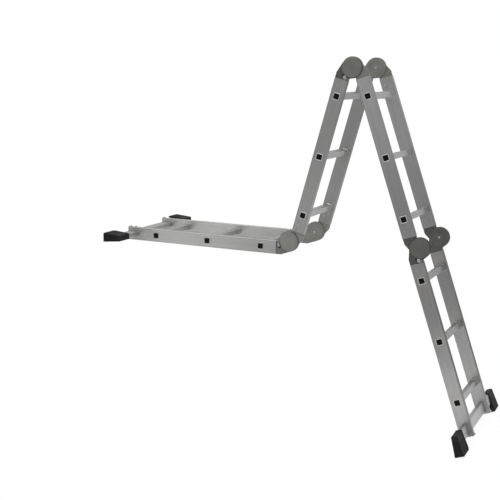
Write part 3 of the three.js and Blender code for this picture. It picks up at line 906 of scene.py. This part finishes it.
def boot(n, o):
    """A rubber foot: rounded block with a pocket for the bar, a lip round its mouth, ribs and a treaded sole."""
    f = FOOT
    pts = [(f["n0"], f["s0"]), (f["n1"] - 1.5, f["s0"]), (f["n1"] + 0.5, f["s0"] + 20), (f["toe"], f["s1"]), (f["heel"], f["s1"]), (f["n0"], f["s0"] + 8)]
    shape = [(n * x, z) for x, z in fillet(pts, [4, 5, 8, 5, 4, 12])]
    y = sorted((o * f["y0"], o * f["y1"]))
    nb = n * BAR_N
    cuts = [block(nb - BAR_T / 2 - 0.3, nb + BAR_T / 2 + 0.3, *sorted((o * (f["y0"] - 5), o * (BAR_HALF + 0.6))), BAR_S - BAR_H / 2 - 0.3, BAR_S + BAR_H / 2 + 0.3)]
    # tread: channels across the sole along Y
    cuts.append(merge([block(n * x - 1.3, n * x + 1.3, *sorted((o * (f["y0"] - 2), o * (f["y1"] + 2))), f["s1"] - 2.4, f["s1"] + 4) for x in (-13.5, -6.7, 0.1, 6.9, 13.7, 20.0)]))
    cuts.append(merge([block(-60, 60, *sorted((o * (yy - 1.2), o * (yy + 1.2))), f["s1"] - 1.7, f["s1"] + 4) for yy in (f["y0"] + 21, f["y0"] + 42, f["y0"] + 63)]))
    # grip grooves down the outward face and across the end
    def slope(z):
        return f["n1"] + 0.5 + (f["toe"] - f["n1"] - 0.5) * (z - f["s0"] - 20) / (f["s1"] - f["s0"] - 20)

    za, zb = f["s0"] + 30, f["s1"] - 7
    groove = [(n * (slope(za) - 1.1), za), (n * (slope(za) + 4), za), (n * (slope(zb) + 4), zb), (n * (slope(zb) - 1.1), zb)]
    cuts.append(merge([prism(groove, *sorted((o * (yy - 1.6), o * (yy + 1.6)))) for yy in (f["y0"] + 14, f["y0"] + 26, f["y0"] + 38, f["y0"] + 50, f["y0"] + 62, f["y0"] + 73)]))
    cuts.append(merge([block(n * x - 1.5, n * x + 1.5, *sorted((o * (f["y1"] - 1.1), o * (f["y1"] + 4))), f["s0"] + 26, f["s1"] - 8) for x in (-7.0, 0.0, 7.0, 14.0)]))
    lip_pts = [(n * x, z) for x, z in fillet([(f["n0"] - 0.0, f["s0"] - 1.6), (f["n1"] - 0.2, f["s0"] - 1.6), (f["n1"] + 1.9, f["s0"] + 19), (f["toe"] + 0.8, f["s1"] - 9), (f["heel"] + 1.4, f["s1"] - 9), (f["n0"], f["s0"] + 7)], [4, 5, 8, 4, 4, 12])]
    lip = prism(lip_pts, *sorted((o * f["y0"], o * (f["y0"] + 6))))
    return shaped(prism(shape, *y), cuts, [lip], bevel=1.0, segments=3, angle=38)


for s, n in (("a", 1), ("d", -1)):
    piece(f"beam_{s}", plain(stabiliser()), SEC[s] @ shift(n * BAR_N, 0, BAR_S), BODY[s], BAR_M, "y", [f"bar_{s}"], sharp=50)
    for side, o in SIDES:
        piece(f"boot_{s}_{side}", boot(n, o), SEC[s], BODY[s], FOOT_M, "z", [f"foot_{s}_{side}"])
        for j, z in enumerate((820, 850)):
            piece(f"bolt_{s}_{side}_{j + 1}", plain(bolt(n)), SEC[s] @ shift(0, o * YC, z), BODY[s], BOLT_M, "z", sharp=35)


# ------------------------------------------------------------------ floor, light
def studio():
    lo = Vector(cad_box[0])
    bm = bmesh.new()
    z = lo.z - 0.0005
    vs = [bm.verts.new((x, y, z)) for x, y in ((-2.4, -1.6), (3.4, -1.6), (3.4, 1.9), (-2.4, 1.9))]
    bm.faces.new(vs)
    me = bpy.data.meshes.new("floor")
    bm.to_mesh(me)
    bm.free()
    floor = bpy.data.objects.new("floor", me)
    scene.collection.objects.link(floor)
    k = Mat("floor_paint")
    k.coord.attribute_name = "position"
    grain = k.noise((3, 3, 3), detail=3)
    k.done(k.ramp(grain, [(0.3, 0.90), (0.7, 0.93)]), 0.9, spec=0.1)
    # mostly clear to the eye only, so that it keeps a faint shadow on white and hides nothing that swings below it
    clear, both_, seen_ = k.node("ShaderNodeBsdfTransparent"), k.node("ShaderNodeMixShader"), k.node("ShaderNodeLightPath")
    clear.inputs["Color"].default_value = (1, 1, 1, 1)
    link(k.nt, k.math("MULTIPLY", seen_.outputs["Is Camera Ray"], 0.9), both_.inputs["Fac"])
    link(k.nt, k.p.outputs["BSDF"], both_.inputs[1])
    link(k.nt, clear.outputs["BSDF"], both_.inputs[2])
    link(k.nt, both_.outputs["Shader"], k.out.inputs["Surface"])
    me.materials.append(k.m)

    w = bpy.data.worlds.new("studio")
    scene.world = w
    w.use_nodes = True
    nt = w.node_tree
    nt.nodes.clear()
    out = nt.nodes.new("ShaderNodeOutputWorld")
    mixer = nt.nodes.new("ShaderNodeMixShader")
    path = nt.nodes.new("ShaderNodeLightPath")
    seen = nt.nodes.new("ShaderNodeBackground")
    seen.inputs["Color"].default_value = (1, 1, 1, 1)
    seen.inputs["Strength"].default_value = 1.0
    lit = nt.nodes.new("ShaderNodeBackground")
    lit.inputs["Strength"].default_value = 1.0
    tc = nt.nodes.new("ShaderNodeTexCoord")
    sep = nt.nodes.new("ShaderNodeSeparateXYZ")
    nt.links.new(tc.outputs["Generated"], sep.inputs["Vector"])
    ramp = nt.nodes.new("ShaderNodeValToRGB")
    rng = nt.nodes.new("ShaderNodeMapRange")
    rng.inputs["From Min"].default_value = -1
    rng.inputs["From Max"].default_value = 1
    nt.links.new(sep.outputs["Z"], rng.inputs["Value"])
    nt.links.new(rng.outputs["Result"], ramp.inputs["Fac"])
    stops = [(0.0, 0.95), (0.36, 0.85), (0.42, 0.38), (0.47, 0.36), (0.52, 0.62), (0.62, 0.72), (1.0, 1.05)]
    e = ramp.color_ramp.elements
    e[0].position, e[0].color = stops[0][0], (stops[0][1],) * 3 + (1,)
    e[1].position, e[1].color = stops[-1][0], (stops[-1][1],) * 3 + (1,)
    for pos, v in stops[1:-1]:
        x = e.new(pos)
        x.color = (v, v, v, 1)
    nt.links.new(ramp.outputs["Color"], lit.inputs["Color"])
    nt.links.new(path.outputs["Is Camera Ray"], mixer.inputs["Fac"])
    nt.links.new(lit.outputs["Background"], mixer.inputs[1])
    nt.links.new(seen.outputs["Background"], mixer.inputs[2])
    nt.links.new(mixer.outputs["Shader"], out.inputs["Surface"])

    def sun(name, direction, strength, angle):
        d = bpy.data.lights.new(name, "SUN")
        d.energy, d.angle = strength, math.radians(angle)
        ob = bpy.data.objects.new(name, d)
        ob.rotation_mode = "QUATERNION"
        ob.rotation_quaternion = Vector(direction).to_track_quat("-Z", "Y")
        scene.collection.objects.link(ob)

    sun("top", (0.1, 0.25, -1), 1.6, 50)


scene.view_settings.view_transform = "Standard"
studio()
